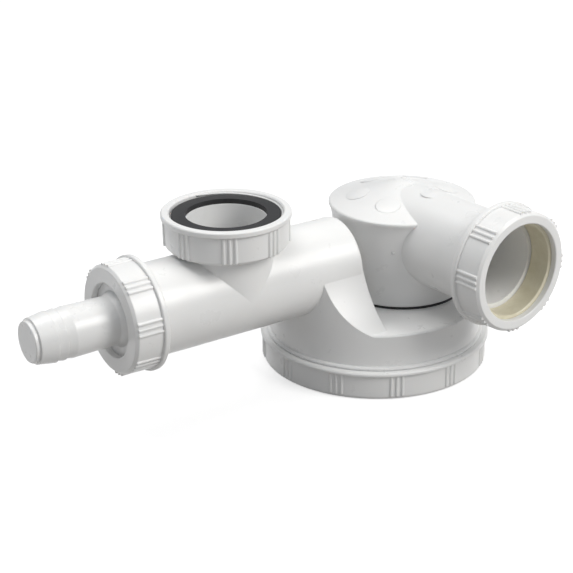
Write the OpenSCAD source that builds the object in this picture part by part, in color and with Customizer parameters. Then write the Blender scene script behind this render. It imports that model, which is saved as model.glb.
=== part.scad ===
// Low-profile sink trap in white polypropylene: a shallow round bowl with a screwed base cap,
// a side inlet arm with a tee branch for the sink waste and a hose tail for an appliance,
// and an outlet drum that swivels on the bowl.
// Origin: bowl axis, at the underside of the base cap. +Z is up, and the inlet arm lies along -X.

/* [Inlet arm] */
// Outer diameter of the arm and of its branch
arm_od = 40; // [36:0.5:44]
// Wall of the arm and of its branch
arm_wall = 2.8; // [2:0.1:4]
// Height of the arm's axis
arm_z = 50.5; // [48:0.5:60]
// From the bowl axis to the branch axis
branch_x = 79; // [76:0.5:100]
// From the branch axis to the hose end of the arm
arm_reach = 50; // [44:0.5:70]
// From the bowl axis to the arm's closed end
arm_end_x = 21.1; // [20:0.1:30]
// Radius of the hollow cove beside the arm
cove_r = 48.5; // [40:0.5:60]
// Rise of the cove's centre above the arm's axis
cove_rise = 18.5; // [12:0.5:24]
// Height of the branch from the arm's axis to its top flange
branch_h = 32.6; // [30:0.2:45]
// How far the branch's top flange stands out
flange_out = 3; // [2:0.1:3.5]
// Thickness of the branch's top flange
flange_t = 2.8; // [2:0.1:4]

/* [Bowl] */
// Outer diameter of the bowl's wall at its foot
bowl_od = 97.2; // [92:0.2:110]
// Wall of the bowl
bowl_wall = 2.8; // [2:0.1:4]
// Inward lean of the bowl's wall, in millimetres per millimetre of height
wall_lean = 0.04; // [0:0.01:0.06]
// Height of the deck that carries the drum
deck_z = 29.2; // [27:0.2:36]
// Thickness of the deck
deck_t = 2.6; // [2:0.1:4]
// How far the bead above the cap stands out
bead_out = 1.4; // [0.8:0.1:2]
// Height of the bead above the cap
bead_h = 1.4; // [1:0.1:2]

/* [Base cap] */
// Height of the cap
cap_h = 13.1; // [12:0.1:16]
// Wall of the cap outside its thread
cap_wall = 3.5; // [2.5:0.1:5]
// Thickness of the cap's floor
cap_floor = 3; // [2:0.1:5]
// How far the cap's top rim stands out
cap_rim_out = 1.1; // [0.6:0.1:2]
// Height of the cap's top rim
cap_rim_h = 2; // [1.5:0.1:3]
// Thickness of the flat seal in the cap
base_seal_t = 1.65; // [1:0.05:2.5]
// Number of rib groups round the cap
cap_groups = 12; // [8:1:16]

/* [Outlet drum] */
// From the bowl axis to the drum's axis
drum_x = 14.9; // [13.8:0.1:15.4]
// Outer diameter of the drum at its foot
drum_foot_od = 57.6; // [56:0.2:60]
// Outer diameter of the drum under its lip
drum_top_od = 64.8; // [60:0.2:66]
// How far the lip of the top stands out
lip_out = 1; // [0.5:0.1:1.4]
// Wall of the drum
drum_wall = 2.5; // [2:0.1:3.5]
// Height of the lip's upper edge
lip_z = 71.8; // [68:0.2:80]
// Rise of the conical top, in millimetres per millimetre of radius
top_slope = 0.31; // [0.1:0.01:0.4]
// Direction of the outlet pipe seen from above
outlet_angle = -85; // [-115:5:115]
// Height of the outlet pipe's axis
outlet_z = 59.2; // [56:0.2:66]
// Outer diameter of the outlet pipe
outlet_od = 42.2; // [40:0.2:44]
// Wall of the outlet pipe
outlet_wall = 2.9; // [2:0.1:4]
// From the drum's axis to the mouth of the outlet
outlet_reach = 69.6; // [62:0.2:90]
// Radius of the round bosses on the top
boss_r = 5.7; // [4:0.1:7]
// From the drum's axis to the bosses
boss_ring = 20.4; // [16:0.2:24]
// Height of the round bosses
boss_h = 0.5; // [0.3:0.1:1]

/* [Dip tube] */
// Outer diameter of the tube that the drum turns on
tube_od = 52; // [48:0.2:52.4]
// Wall of the tube
tube_wall = 2.6; // [2:0.1:4]
// Height of the tube's lower end, under the standing water
tube_foot_z = 8; // [6:0.5:14]
// How far the tube rises above the deck
tube_rise = 8.8; // [7:0.1:12]
// How far the tube's snap bead stands out
snap_out = 0.7; // [0.4:0.1:1]
// Thickness of the drum's seal
drum_seal_t = 1.1; // [0.8:0.1:2]

/* [Union nuts] */
// Outer diameter of the thread for the waste and outlet nuts
large_thread_od = 47.8; // [46:0.1:50]
// Outer diameter of the thread for the hose nut
small_thread_od = 41.9; // [40:0.1:44]
// Length of each nut
nut_len = 15; // [13:0.5:20]
// Wall of each nut outside its thread
nut_wall = 2.4; // [1.8:0.1:3.5]
// How far the rim of each nut stands out
nut_rim_out = 1.2; // [0.6:0.1:2]
// Width of the rim of each nut
nut_rim_w = 2.6; // [2:0.1:3.5]
// Thickness of the ring that closes each nut
nut_ring_t = 2.7; // [2:0.1:3.5]
// Number of rib groups round each nut
nut_groups = 8; // [6:1:10]
// Hole through the hose nut
hose_nut_hole = 31.8; // [28:0.2:34]
// Hole through the outlet nut
outlet_nut_hole = 43.2; // [41.6:0.2:44]

/* [Pipe joints] */
// Diameter of the waste pipe that enters the outlet
waste_pipe_od = 40; // [38:0.5:40.5]
// Depth of the outlet's socket for the waste pipe and its seal
socket_depth = 8; // [6:0.2:12]
// Thickness of the washer on the branch
washer_t = 2.2; // [1.5:0.1:3]
// Depth of the washer's top below the waste nut's rim
washer_inset = 1.3; // [0.8:0.1:3]
// Thickness of the seal behind the hose tail
hose_seal_t = 1.8; // [1:0.1:3]

/* [Hose tail] */
// Outer diameter of the plain tube
tail_od = 21; // [18:0.2:24]
// Outer diameter over the barbs
barb_od = 21.8; // [19:0.2:25]
// Bore of the tail
tail_bore = 14.8; // [12:0.2:16]
// From the tail's flange to its closed end
tail_len = 39.9; // [34:0.1:60]
// Thickness of the flange inside the nut
tail_flange_t = 2.9; // [2:0.1:4]
// Number of barbs
barbs = 3; // [2:1:4]
// Spacing of the barbs behind the first
barb_pitch = 4; // [3:0.1:5]
// Length of the first barb
first_barb = 7.4; // [5:0.1:9]

/* [Ribs] */
// Width of one grip rib
rib_w = 1.5; // [1:0.1:2]
// Spacing of the three ribs in a group
rib_pitch = 2.5; // [2:0.1:3]
// Height of a grip rib above its wall
rib_h = 0.55; // [0.3:0.05:0.9]

/* [Fits] */
// Gap between threaded pieces and between pieces that turn
fit_gap = 0.3; // [0.2:0.05:0.5]
// Gap between faces that press on a seal
face_gap = 0.05; // [0.05:0.05:0.1]
// Chamfer on outer edges
edge = 0.8; // [0.4:0.1:1]

/* [Hidden] */
$fn = 96;
over = 1;
arm_r = arm_od / 2;
arm_bore_r = arm_r - arm_wall;
hose_end_x = -branch_x - arm_reach;
branch_top = arm_z + branch_h;
bowl_r = bowl_od / 2;
bowl_bore_r = bowl_r - wall_lean * (deck_z - cap_h) - bowl_wall;
bowl_foot_z = cap_floor + base_seal_t + face_gap;
bead_top = cap_h + fit_gap / 2 + bead_h;
bowl_thread_r = bowl_r - 0.7;
cap_bore_r = bowl_thread_r + fit_gap;
cap_r = cap_bore_r + cap_wall;
deck_r = bowl_r - wall_lean * (deck_z - edge - cap_h);
tall_top = arm_z + arm_r / 5;
cove_y = arm_r + sqrt(pow(cove_r, 2) - pow(cove_rise, 2));
cove_z = arm_z + cove_rise;

tube_r = tube_od / 2;
tube_bore_r = tube_r - tube_wall;
tube_top = deck_z + tube_rise;
snap_z = tube_top - 3;
snap_w = 1.6;
drum_foot_z = deck_z + drum_seal_t + face_gap;
drum_foot_r = drum_foot_od / 2;
drum_top_r = drum_top_od / 2;
drum_bore_r = tube_r + fit_gap;
lip_r = drum_top_r + lip_out;
lip_h = 1.2;
drum_taper = (drum_top_r - drum_foot_r) / (lip_z - lip_h - drum_foot_z);
top_z = lip_z + top_slope * lip_r;
outlet_r = outlet_od / 2;
outlet_bore_r = outlet_r - outlet_wall;
pipe_seat_r = waste_pipe_od / 2 + 0.2;
seal_sleeve_r = pipe_seat_r + 1.3;
socket_r = seal_sleeve_r + fit_gap;
flare_h = 7;

large_thread_r = large_thread_od / 2;
small_thread_r = small_thread_od / 2;
outlet_ring_h = 2.6;
outlet_nut_s = outlet_reach + outlet_ring_h + 2 * face_gap + nut_ring_t - nut_len;
hose_nut_x = hose_end_x - hose_seal_t - tail_flange_t - 2 * face_gap - fit_gap / 3 - nut_ring_t + nut_len;
hose_flange_x = hose_end_x - face_gap - hose_seal_t;
waste_nut_z = branch_top + washer_t + washer_inset - nut_len;
rib_r = rib_w / 2;

// Body of revolution from an outline of [radius, height] points
module turned(outline) {
    rotate_extrude() polygon(outline);
}

// Flat ring
module ring(outer, inner, h) {
    difference() {
        cylinder(r = outer, h = h);
        translate([0, 0, -over]) cylinder(r = inner, h = h + 2 * over);
    }
}

// Groups of three round grip ribs along +Z on a wall of radius r
module grip_ribs(r, z0, z1, groups, first) {
    step = rib_pitch / r * 180 / PI;
    for (g = [0 : groups - 1], k = [-1 : 1])
        rotate([0, 0, first + g * 360 / groups + k * step])
            translate([r + rib_h - rib_r, 0, z0]) cylinder(r = rib_r, h = z1 - z0, $fn = 24);
}

// Union nut: the rim and the threaded mouth at z = 0, the closing ring with its hole at the far end
module union_nut(thread_r, hole_r, first_rib) {
    bore_r = thread_r + fit_gap;
    wall_r = bore_r + nut_wall;
    rim_r = wall_r + nut_rim_out;
    ring_z = nut_len - nut_ring_t;
    turned([[bore_r, 0.6], [bore_r + 0.6, 0], [rim_r - 0.5, 0], [rim_r, 0.5], [rim_r, nut_rim_w - 0.4],
            [rim_r - 0.4, nut_rim_w], [wall_r, nut_rim_w], [wall_r - 0.2, nut_len - 1.2],
            [wall_r - 1.4, nut_len], [hole_r + 0.3, nut_len], [hole_r, nut_len - 0.3], [hole_r, ring_z],
            [bore_r, ring_z]]);
    grip_ribs(wall_r, nut_rim_w - 0.5, nut_len - 1, nut_groups, first_rib);
}

// Placement of the pieces on the outlet: z runs from the drum's axis out along the pipe
module at_outlet() {
    translate([drum_x, 0, outlet_z]) rotate([0, 0, outlet_angle]) rotate([0, 90, 0]) children();
}

// Placement of the pieces on the hose end: z runs out along -X
module at_hose(x) {
    translate([x, 0, arm_z]) rotate([0, -90, 0]) children();
}

// Bowl wall leaned inwards, carried on up to the arm
module leaned_wall(r, z0, z1) {
    translate([0, 0, z0])
        cylinder(r1 = r - wall_lean * (z0 - cap_h), r2 = r - wall_lean * (z1 - cap_h), h = z1 - z0);
}

// Cross-section of the housing under the arm, between two hollow coves, drawn in the YZ plane
module cove_section(extra) {
    rotate([90, 0, 90])
        linear_extrude(height = bowl_r)
            difference() {
                translate([-bowl_r, deck_z - deck_t - over]) square([2 * bowl_r, tall_top - deck_z + deck_t + over]);
                for (side = [-1, 1]) translate([side * cove_y, cove_z]) circle(r = cove_r + extra, $fn = 180);
            }
}

// Outside of the bowl, the arm, its branch and the housing that joins them
module body_outside() {
    leaned_wall(bowl_r, cap_h + bead_h, deck_z - edge);
    translate([0, 0, deck_z - edge]) cylinder(r1 = deck_r, r2 = deck_r - edge, h = edge);
    intersection() {
        leaned_wall(bowl_r, cap_h + bead_h, tall_top);
        translate([-bowl_r - arm_end_x, 0, 0]) cove_section(0);
    }
    turned([[0, bowl_foot_z], [bowl_thread_r - edge, bowl_foot_z], [bowl_thread_r, bowl_foot_z + edge],
            [bowl_thread_r, cap_h + fit_gap / 2], [bowl_r + bead_out, cap_h + fit_gap / 2],
            [bowl_r + bead_out, bead_top - 0.7], [bowl_r + bead_out - 0.5, bead_top - 0.2],
            [bowl_r, bead_top], [0, bead_top]]);
    at_hose(-arm_end_x)
        turned([[0, 0], [arm_r - 1.2, 0], [arm_r - 0.35, 0.35], [arm_r, 1.2],
                [arm_r, -hose_end_x - arm_end_x], [0, -hose_end_x - arm_end_x]]);
    at_hose(hose_end_x) mirror([0, 0, 1])
        turned([[0, 0], [small_thread_r - edge, 0], [small_thread_r, edge], [small_thread_r, 6.4],
                [arm_r - 0.2, 7.6], [0, 7.6]]);
    translate([-branch_x, 0, arm_z]) cylinder(r = arm_r, h = branch_h);
    translate([-branch_x, 0, branch_top - flange_t]) cylinder(r = arm_r + flange_out, h = flange_t);
}

// Hollows of the bowl, the arm and the branch
module body_inside() {
    translate([0, 0, -over]) cylinder(r = bowl_bore_r, h = deck_z - deck_t + over);
    intersection() {
        translate([0, 0, deck_z - deck_t - over]) cylinder(r = bowl_bore_r, h = tall_top);
        translate([-bowl_r - arm_end_x - arm_wall, 0, 0]) cove_section(arm_wall);
    }
    at_hose(-arm_end_x - arm_wall) cylinder(r = arm_bore_r, h = branch_x + arm_reach);
    translate([-branch_x, 0, arm_z]) cylinder(r = arm_bore_r, h = branch_h + over);
    translate([drum_x, 0, deck_z - deck_t - over]) cylinder(r = tube_bore_r, h = deck_t + 2 * over);
}

// Tube that dips into the water and carries the drum, with its snap bead
module dip_tube() {
    translate([drum_x, 0, 0])
        turned([[tube_bore_r, tube_foot_z], [tube_r, tube_foot_z], [tube_r, snap_z - snap_out],
                [tube_r + snap_out, snap_z], [tube_r + snap_out, snap_z + snap_w],
                [tube_r, tube_top - 0.6], [tube_r - 0.6, tube_top], [tube_bore_r, tube_top]]);
}

module trap_body() {
    color("whitesmoke") {
        difference() {
            body_outside();
            body_inside();
        }
        dip_tube();
    }
}

module base_cap() {
    color("whitesmoke") {
        turned([[0, 0], [cap_r - 1.2, 0], [cap_r - 0.3, 0.4], [cap_r, 1.4], [cap_r, cap_h - cap_rim_h],
                [cap_r + cap_rim_out, cap_h - cap_rim_h + 0.4], [cap_r + cap_rim_out, cap_h - 0.7],
                [cap_r + cap_rim_out - 0.7, cap_h], [cap_bore_r, cap_h], [cap_bore_r, cap_floor],
                [0, cap_floor]]);
        grip_ribs(cap_r, 1.6, cap_h - cap_rim_h + 0.3, cap_groups, 4.5);
    }
}

module base_seal() {
    color("dimgray")
        translate([0, 0, cap_floor])
            ring(bowl_thread_r, bowl_bore_r - 0.5, base_seal_t);
}

// Outline of the drum's wall near the top, where it flares out to the lip
function flare_points(steps) =
    [for (k = [0 : steps])
        let (t = k / steps)
        [drum_top_r - (1 - t) * drum_taper * flare_h + lip_out * pow(t, 3), lip_z - lip_h - (1 - t) * flare_h]];

// Outer surface of the drum, without its pipe
module drum_shell() {
    turned(concat([[0, drum_foot_z], [drum_foot_r - 0.4, drum_foot_z], [drum_foot_r, drum_foot_z + 0.4]],
                  flare_points(6),
                  [[lip_r, lip_z - 0.4], [lip_r - 0.5, lip_z + 0.1], [3, top_z - 3 * top_slope],
                   [0, top_z - 3 * top_slope + 0.2]]));
}

// Hollow of the drum, with the groove for the tube's snap bead
module drum_hollow() {
    groove_r = tube_r + snap_out + fit_gap;
    roof_z = top_z - drum_wall * sqrt(1 + pow(top_slope, 2));
    inner_top_r = drum_top_r - drum_wall;
    turned([[0, drum_foot_z - over], [drum_bore_r, drum_foot_z - over], [drum_bore_r, snap_z - 0.8],
            [groove_r, snap_z - 0.4], [groove_r, snap_z + snap_w + 0.4], [drum_bore_r, snap_z + snap_w + 1.2],
            [drum_bore_r, tube_top + 1], [inner_top_r, lip_z - lip_h - 2],
            [inner_top_r, roof_z - top_slope * inner_top_r], [0, roof_z]]);
}

// Low domed boss whose edge lies at z = 0
module boss() {
    dome_r = (pow(boss_r, 2) + pow(boss_h, 2)) / 2 / boss_h;
    rotate_extrude()
        intersection() {
            translate([0, boss_h - dome_r]) circle(r = dome_r, $fn = 360);
            translate([0, -1]) square([boss_r, 1 + boss_h]);
        }
}

// Six low bosses on the conical top, the first of them on the pipe
module top_bosses() {
    for (k = [1 : 5])
        rotate([0, 0, 60 * k])
            translate([boss_ring, 0, top_z - top_slope * boss_ring])
                rotate([0, atan(top_slope), 0])
                    boss();
    translate([boss_ring, 0, outlet_z + outlet_r - 0.3]) boss();
}

module outlet_drum() {
    color("whitesmoke")
        difference() {
            union() {
                translate([drum_x, 0, 0]) {
                    drum_shell();
                    rotate([0, 0, outlet_angle]) top_bosses();
                }
                at_outlet() {
                    cylinder(r = outlet_r, h = outlet_reach - over);
                    translate([0, 0, outlet_nut_s])
                        turned([[0, 0], [outlet_r - 0.2, 0], [large_thread_r, 1.2],
                                [large_thread_r, outlet_reach - outlet_nut_s - edge],
                                [large_thread_r - edge, outlet_reach - outlet_nut_s],
                                [0, outlet_reach - outlet_nut_s]]);
                }
            }
            translate([drum_x, 0, 0]) drum_hollow();
            at_outlet() {
                cylinder(r = outlet_bore_r, h = outlet_reach);
                translate([0, 0, outlet_reach - socket_depth]) cylinder(r = socket_r, h = socket_depth + over);
            }
        }
}

module drum_seal() {
    color("black")
        translate([drum_x, 0, deck_z])
            ring(drum_foot_r - 0.3, tube_r + 0.1, drum_seal_t);
}

module waste_nut() {
    color("whitesmoke")
        translate([-branch_x, 0, waste_nut_z + nut_len]) mirror([0, 0, 1])
            union_nut(large_thread_r, arm_r + fit_gap, 16);
}

module waste_washer() {
    color("black")
        translate([-branch_x, 0, branch_top])
            ring(large_thread_r - 0.7, arm_bore_r + 0.3, washer_t);
}

module hose_nut() {
    color("whitesmoke")
        at_hose(hose_nut_x) rotate([0, 0, 8.5])
            union_nut(small_thread_r, hose_nut_hole / 2, 0);
}

// Outline of the barbed end: the first barb is long, the others follow at one pitch
function barb_points(z_tip) = concat(
    [for (k = [barbs - 1 : -1 : 1])
        let (z = z_tip - 2 - first_barb - barb_pitch * (k - 1))
        each [[barb_od / 2, z - barb_pitch], [tail_od / 2 - 0.3, z - 0.01]]],
    [[barb_od / 2, z_tip - 2 - first_barb]]);

module hose_tail() {
    tip_r = tail_od / 2 - 1.7;
    z_tip = tail_flange_t + tail_len;
    color("whitesmoke")
        at_hose(hose_flange_x)
            difference() {
                turned(concat([[0, 0], [small_thread_r - 1.4, 0], [small_thread_r - 1.4, tail_flange_t],
                               [tail_od / 2 + 1.6, tail_flange_t], [tail_od / 2, tail_flange_t + 3]],
                              barb_points(z_tip),
                              [[tip_r + 0.9, z_tip - 2], [tip_r, z_tip - 1.9], [tip_r, z_tip - 0.3],
                               [tip_r - 0.3, z_tip], [0, z_tip]]));
                translate([0, 0, -over]) cylinder(r = tail_bore / 2, h = z_tip - 2 + over);
            }
}

module hose_seal() {
    color("dimgray")
        at_hose(hose_end_x - face_gap)
            ring(small_thread_r - 1.4, arm_bore_r - 3, hose_seal_t);
}

module outlet_nut() {
    color("whitesmoke")
        at_outlet()
            translate([0, 0, outlet_nut_s]) rotate([0, 0, 41])
                union_nut(large_thread_r, outlet_nut_hole / 2, 0);
}

// Pipe seal: a sleeve that lines the socket and a flange under the nut's ring
module outlet_seal() {
    sleeve = socket_depth - fit_gap;
    color("ivory")
        at_outlet()
            translate([0, 0, outlet_reach + face_gap])
                turned([[pipe_seat_r, -sleeve], [seal_sleeve_r - 0.6, -sleeve], [seal_sleeve_r, -sleeve + 1.2],
                        [seal_sleeve_r, 0], [large_thread_r - 0.3, 0], [large_thread_r - 0.3, outlet_ring_h],
                        [pipe_seat_r + 0.5, outlet_ring_h], [pipe_seat_r, outlet_ring_h - 0.5]]);
}

trap_body();
base_cap();
base_seal();
outlet_drum();
drum_seal();
waste_nut();
waste_washer();
hose_nut();
hose_tail();
hose_seal();
outlet_nut();
outlet_seal();
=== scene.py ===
import math
import bpy
import bmesh
from mathutils import Matrix, Vector


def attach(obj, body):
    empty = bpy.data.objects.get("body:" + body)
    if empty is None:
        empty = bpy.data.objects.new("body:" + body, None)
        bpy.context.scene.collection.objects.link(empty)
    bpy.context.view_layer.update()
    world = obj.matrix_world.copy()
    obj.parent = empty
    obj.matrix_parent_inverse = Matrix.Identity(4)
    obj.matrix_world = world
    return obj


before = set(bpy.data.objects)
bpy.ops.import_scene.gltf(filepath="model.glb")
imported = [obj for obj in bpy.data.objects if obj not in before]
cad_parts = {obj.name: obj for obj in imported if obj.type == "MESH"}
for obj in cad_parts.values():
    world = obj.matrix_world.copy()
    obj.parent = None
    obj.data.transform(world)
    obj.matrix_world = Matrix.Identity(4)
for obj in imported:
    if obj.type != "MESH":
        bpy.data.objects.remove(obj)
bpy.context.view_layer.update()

# Sizes in metres, the same as the part's
MM = 0.001
ARM_Z = 50.5 * MM
BRANCH_X = -79.0 * MM
HOSE_END_X = -129.0 * MM
DRUM_X = 14.9 * MM
OUTLET_Z = 59.2 * MM
OUTLET_DIR = Vector((math.cos(math.radians(-85)), math.sin(math.radians(-85)), 0))
PITCH = 2.309 * MM
CAP_PITCH = 3.0 * MM


# Materials

def new_material(name):
    mat = bpy.data.materials.new(name)
    mat.use_nodes = True
    nodes = mat.node_tree.nodes
    return mat, nodes, mat.node_tree.links, nodes["Principled BSDF"]


def noise(nodes, links, coord, scale, detail=3.0, rough=0.5, dist=0.0):
    n = nodes.new("ShaderNodeTexNoise")
    n.inputs["Scale"].default_value = scale
    n.inputs["Detail"].default_value = detail
    n.inputs["Roughness"].default_value = rough
    n.inputs["Distortion"].default_value = dist
    links.new(coord, n.inputs["Vector"])
    return n.outputs["Fac"]


def ramp(nodes, links, value, stops):
    r = nodes.new("ShaderNodeValToRGB")
    while len(r.color_ramp.elements) < len(stops):
        r.color_ramp.elements.new(0.5)
    for e, (p, c) in zip(r.color_ramp.elements, stops):
        e.position = p
        e.color = (c[0], c[1], c[2], 1)
    links.new(value, r.inputs["Fac"])
    return r.outputs["Color"]


def span(nodes, links, value, low, high, a=0.3, b=0.7):
    m = nodes.new("ShaderNodeMapRange")
    m.inputs["From Min"].default_value = a
    m.inputs["From Max"].default_value = b
    m.inputs["To Min"].default_value = low
    m.inputs["To Max"].default_value = high
    links.new(value, m.inputs["Value"])
    return m.outputs["Result"]


def bump(nodes, links, height, strength, distance, normal=None):
    b = nodes.new("ShaderNodeBump")
    b.inputs["Strength"].default_value = strength
    b.inputs["Distance"].default_value = distance
    links.new(height, b.inputs["Height"])
    if normal is not None:
        links.new(normal, b.inputs["Normal"])
    return b.outputs["Normal"]


def moulded(name, light, dark, rough_low, rough_high, edge_radius):
    """Injection-moulded plastic: slight cloudiness, shallow sink waves, a fine skin, soft edges."""
    mat, nodes, links, bsdf = new_material(name)
    coord = nodes.new("ShaderNodeTexCoord").outputs["Object"]
    cloud = noise(nodes, links, coord, 22, 4, 0.55, 0.6)
    links.new(ramp(nodes, links, cloud, [(0.3, dark), (0.7, light)]), bsdf.inputs["Base Color"])
    flow = noise(nodes, links, coord, 90, 5, 0.6)
    links.new(span(nodes, links, flow, rough_low, rough_high), bsdf.inputs["Roughness"])
    soft = nodes.new("ShaderNodeBevel")
    soft.samples = 4
    soft.inputs["Radius"].default_value = edge_radius
    wave = bump(nodes, links, noise(nodes, links, coord, 35, 1), 0.35, 0.0006, soft.outputs["Normal"])
    skin = bump(nodes, links, noise(nodes, links, coord, 2600, 2), 0.10, 0.00008, wave)
    links.new(skin, bsdf.inputs["Normal"])
    bsdf.inputs["IOR"].default_value = 1.49
    bsdf.inputs["Subsurface Weight"].default_value = 0.12
    bsdf.inputs["Subsurface Radius"].default_value = (1.0, 0.9, 0.8)
    bsdf.inputs["Subsurface Scale"].default_value = 0.0015
    return mat


def rubber(name, light, dark, rough_low, rough_high, grain):
    mat, nodes, links, bsdf = new_material(name)
    coord = nodes.new("ShaderNodeTexCoord").outputs["Object"]
    dust = noise(nodes, links, coord, 160, 6, 0.65, 0.4)
    links.new(ramp(nodes, links, dust, [(0.35, dark), (0.72, light)]), bsdf.inputs["Base Color"])
    links.new(span(nodes, links, dust, rough_low, rough_high), bsdf.inputs["Roughness"])
    skin = bump(nodes, links, noise(nodes, links, coord, grain, 3), 0.25, 0.00012)
    links.new(skin, bsdf.inputs["Normal"])
    bsdf.inputs["IOR"].default_value = 1.5
    return mat


white = moulded("white_plastic", (0.83, 0.83, 0.82), (0.80, 0.80, 0.795), 0.26, 0.36, 0.0006)
black = rubber("black_rubber", (0.030, 0.030, 0.032), (0.012, 0.012, 0.013), 0.42, 0.6, 1500)
grey = rubber("grey_rubber", (0.20, 0.20, 0.20), (0.13, 0.13, 0.13), 0.5, 0.7, 1500)
cream = rubber("cream_rubber", (0.74, 0.70, 0.55), (0.66, 0.61, 0.45), 0.38, 0.5, 1100)

LOOK = {
    "trap_body": white, "base_cap": white, "outlet_drum": white, "waste_nut": white, "hose_nut": white,
    "hose_tail": white, "outlet_nut": white, "base_seal": grey, "hose_seal": grey, "drum_seal": black,
    "waste_washer": black, "outlet_seal": cream,
}
for node, mat in LOOK.items():
    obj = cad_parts[node]
    for s in obj.material_slots:
        s.material = mat
    if not obj.material_slots:
        obj.data.materials.append(mat)


# Added pieces

def place(name, bm, mat, body, smooth=True):
    mesh = bpy.data.meshes.new(name)
    bmesh.ops.recalc_face_normals(bm, faces=bm.faces)
    bm.to_mesh(mesh)
    bm.free()
    for p in mesh.polygons:
        p.use_smooth = smooth
    mesh.materials.append(mat)
    obj = bpy.data.objects.new(name, mesh)
    bpy.context.scene.collection.objects.link(obj)
    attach(obj, body)
    return obj


def frame_along(origin, axis):
    """Matrix that takes +Z to the axis."""
    q = Vector((0, 0, 1)).rotation_difference(Vector(axis).normalized())
    return Matrix.Translation(Vector(origin)) @ q.to_matrix().to_4x4()


def thread(bm, to_world, radius, height, z0, z1, pitch, phase=0.0, width=0.42, steps=72):
    """Helical ridge of trapezoid section, right-handed, from z0 to z1; a negative height points inwards."""
    turns = (z1 - z0) / pitch
    n = max(8, int(steps * turns))
    half, crest = width * pitch / 2, width * pitch / 4
    root = radius - math.copysign(0.05 * MM, height)
    rings = []
    for i in range(n + 1):
        t = i / n
        a = phase + 2 * math.pi * turns * t
        z = z0 + (z1 - z0) * t
        rise = height * min(1, t * turns * 6, (1 - t) * turns * 6)
        row = []
        for r, dz in ((root, -half), (radius + rise, -crest), (radius + rise, crest), (root, half)):
            row.append(bm.verts.new(to_world @ Vector((r * math.cos(a), r * math.sin(a), z + dz))))
        rings.append(row)
    for p, q in zip(rings, rings[1:]):
        for k in range(4):
            bm.faces.new((p[k], p[(k + 1) % 4], q[(k + 1) % 4], q[k]))
    bm.faces.new(rings[0])
    bm.faces.new(list(reversed(rings[-1])))


def thread_piece(name, body, origin, axis, radius, height, z0, z1, pitch, phase=0.0, starts=1, width=0.42):
    bm = bmesh.new()
    for k in range(starts):
        thread(bm, frame_along(origin, axis), radius, height, z0, z1, pitch, phase + k * 2 * math.pi / starts, width)
    return place(name, bm, white, body)


drum_origin = Vector((DRUM_X, 0, OUTLET_Z))
HALF_TURN = math.pi
thread_piece("outlet_thread", "drum", drum_origin, OUTLET_DIR, 23.9 * MM, 0.2 * MM, 62.6 * MM, 68.2 * MM, PITCH)
thread_piece("outlet_nut_thread", "pipe_nut", drum_origin, OUTLET_DIR, 24.2 * MM, -0.2 * MM, 62.6 * MM, 71.0 * MM,
             PITCH, HALF_TURN)
thread_piece("hose_end_thread", "trap", (HOSE_END_X, 0, ARM_Z), (-1, 0, 0), 20.95 * MM, 0.2 * MM, -5.4 * MM,
             -1.4 * MM, PITCH)
thread_piece("hose_nut_thread", "tail_nut", (HOSE_END_X, 0, ARM_Z), (-1, 0, 0), 21.25 * MM, -0.2 * MM, -5.4 * MM,
             3.2 * MM, PITCH, HALF_TURN)
thread_piece("waste_nut_thread", "inlet_nut", (BRANCH_X, 0, 0), (0, 0, 1), 24.2 * MM, -0.75 * MM, 76.0 * MM,
             85.6 * MM, PITCH, 0.6, 1, 0.5)
thread_piece("bowl_thread", "trap", (0, 0, 0), (0, 0, -1), 47.9 * MM, 0.2 * MM, -12.0 * MM, -6.2 * MM, CAP_PITCH)
thread_piece("cap_thread", "cap", (0, 0, 0), (0, 0, -1), 48.2 * MM, -0.2 * MM, -12.0 * MM, -5.6 * MM, CAP_PITCH,
             HALF_TURN)


# Small moulding marks where the plastic was injected
def nib(bm, at, normal, radius, height):
    m = frame_along(at, normal)
    rings = []
    for r, h in ((1.0, -0.3), (1.0, 0.35), (0.8, 0.75), (0.4, 1.0)):
        rings.append([bm.verts.new(m @ Vector((radius * r * math.cos(a), radius * r * math.sin(a), height * h)))
                      for a in [2 * math.pi * i / 20 for i in range(20)]])
    for p, q in zip(rings, rings[1:]):
        for k in range(20):
            bm.faces.new((p[k], p[(k + 1) % 20], q[(k + 1) % 20], q[k]))
    bm.faces.new(rings[-1])
    bm.faces.new(list(reversed(rings[0])))


bm = bmesh.new()
a = math.radians(-85 - 49.4)
side_r = (28.8 + (57.6 - 30.4) * (32.4 - 28.8) / (69.4 - 30.4)) * MM
nib(bm, (DRUM_X + side_r * math.cos(a), side_r * math.sin(a), 57.6 * MM), (math.cos(a), math.sin(a), 0.0),
    0.7 * MM, 0.35 * MM)
place("drum_gate_mark", bm, white, "drum")


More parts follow.
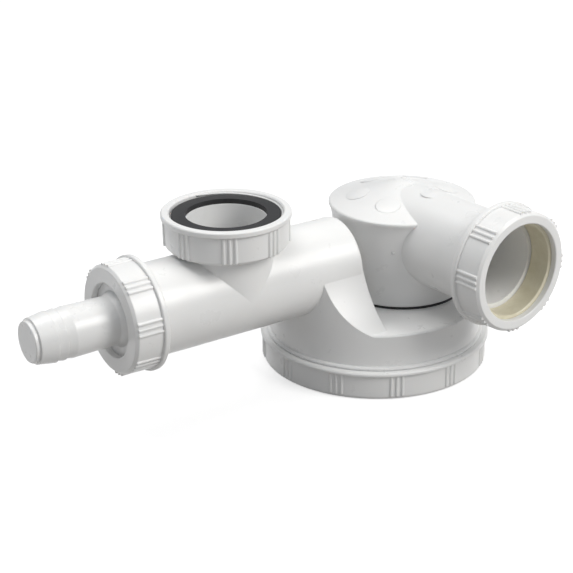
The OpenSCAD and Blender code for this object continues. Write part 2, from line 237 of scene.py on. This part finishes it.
# Floor, background and light
def floor_material():
    mat = bpy.data.materials.new("pale_floor")
    mat.use_nodes = True
    nodes, links = mat.node_tree.nodes, mat.node_tree.links
    nodes.clear()
    out = nodes.new("ShaderNodeOutputMaterial")
    path = nodes.new("ShaderNodeLightPath")
    seen = nodes.new("ShaderNodeMath")
    seen.operation = "MAXIMUM"
    links.new(path.outputs["Is Camera Ray"], seen.inputs[0])
    links.new(path.outputs["Is Glossy Ray"], seen.inputs[1])
    seen2 = nodes.new("ShaderNodeMath")
    seen2.operation = "MAXIMUM"
    links.new(seen.outputs[0], seen2.inputs[0])
    links.new(path.outputs["Is Transmission Ray"], seen2.inputs[1])
    dark = nodes.new("ShaderNodeBsdfDiffuse")
    dark.inputs["Color"].default_value = (0.30, 0.29, 0.28, 1)
    pale = nodes.new("ShaderNodeBsdfDiffuse")
    pale.inputs["Color"].default_value = (0.55, 0.55, 0.55, 1)
    glow = nodes.new("ShaderNodeEmission")
    glow.inputs["Color"].default_value = (1, 1, 1, 1)
    glow.inputs["Strength"].default_value = 0.62
    add = nodes.new("ShaderNodeAddShader")
    links.new(pale.outputs[0], add.inputs[0])
    links.new(glow.outputs[0], add.inputs[1])
    mix = nodes.new("ShaderNodeMixShader")
    links.new(seen2.outputs[0], mix.inputs[0])
    links.new(dark.outputs[0], mix.inputs[1])
    links.new(add.outputs[0], mix.inputs[2])
    links.new(mix.outputs[0], out.inputs["Surface"])
    return mat


me = bpy.data.meshes.new("floor")
S = 6.0
me.from_pydata([(-S, -S, 0), (S, -S, 0), (S, S, 0), (-S, S, 0)], [], [(0, 1, 2, 3)])
me.materials.append(floor_material())
floor = bpy.data.objects.new("floor", me)
bpy.context.scene.collection.objects.link(floor)

world = bpy.data.worlds.new("studio")
bpy.context.scene.world = world
world.use_nodes = True
wn, wl = world.node_tree.nodes, world.node_tree.links
wn.clear()
w_out = wn.new("ShaderNodeOutputWorld")
w_path = wn.new("ShaderNodeLightPath")
w_mix = wn.new("ShaderNodeMixShader")
w_fill = wn.new("ShaderNodeBackground")
w_fill.inputs["Color"].default_value = (0.93, 0.96, 1.0, 1)
w_fill.inputs["Strength"].default_value = 0.42
w_seen = wn.new("ShaderNodeBackground")
w_seen.inputs["Color"].default_value = (1, 1, 1, 1)
w_seen.inputs["Strength"].default_value = 1.0
wl.new(w_path.outputs["Is Camera Ray"], w_mix.inputs[0])
wl.new(w_fill.outputs[0], w_mix.inputs[1])
wl.new(w_seen.outputs[0], w_mix.inputs[2])
wl.new(w_mix.outputs[0], w_out.inputs["Surface"])

TARGET = Vector((-0.03, -0.01, 0.05))


def area_light(name, at, size, power, color=(1, 1, 1)):
    data = bpy.data.lights.new(name, "AREA")
    data.shape = "RECTANGLE"
    data.size, data.size_y = size
    data.energy = power
    data.color = color
    obj = bpy.data.objects.new(name, data)
    obj.location = at
    obj.rotation_euler = (TARGET - Vector(at)).to_track_quat("-Z", "Y").to_euler()
    bpy.context.scene.collection.objects.link(obj)
    return obj


area_light("key", (0.55, -1.0, 0.95), (0.7, 0.7), 13.0, (1.0, 0.985, 0.96))
area_light("top", (-0.2, 0.35, 1.3), (1.0, 0.8), 9.0, (1.0, 0.99, 0.97))

# Camera at the photograph's viewing angle
cam_data = bpy.data.cameras.new("camera")
cam_data.sensor_fit = "HORIZONTAL"
cam_data.sensor_width = 36.0
cam_data.lens = 1551.78 / 573 * 36.0
cam_data.clip_start = 0.01
cam_data.clip_end = 20
cam = bpy.data.objects.new("camera", cam_data)
look = Vector((0.5096, 0.7650, -0.3941)).normalized()
right = Vector((0.8322, -0.5544, 0.0)).normalized()
up = right.cross(look).normalized()
roll = math.radians(-0.58)
right_r = right * math.cos(roll) + up * math.sin(roll)
up_r = right_r.cross(look).normalized()
rot = Matrix((right_r, up_r, -look)).transposed()
cam.matrix_world = Matrix.Translation(Vector((-0.3985, -0.5250, 0.3145))) @ rot.to_4x4()
bpy.context.scene.collection.objects.link(cam)
bpy.context.scene.camera = cam

bpy.context.scene.view_settings.view_transform = "Standard"
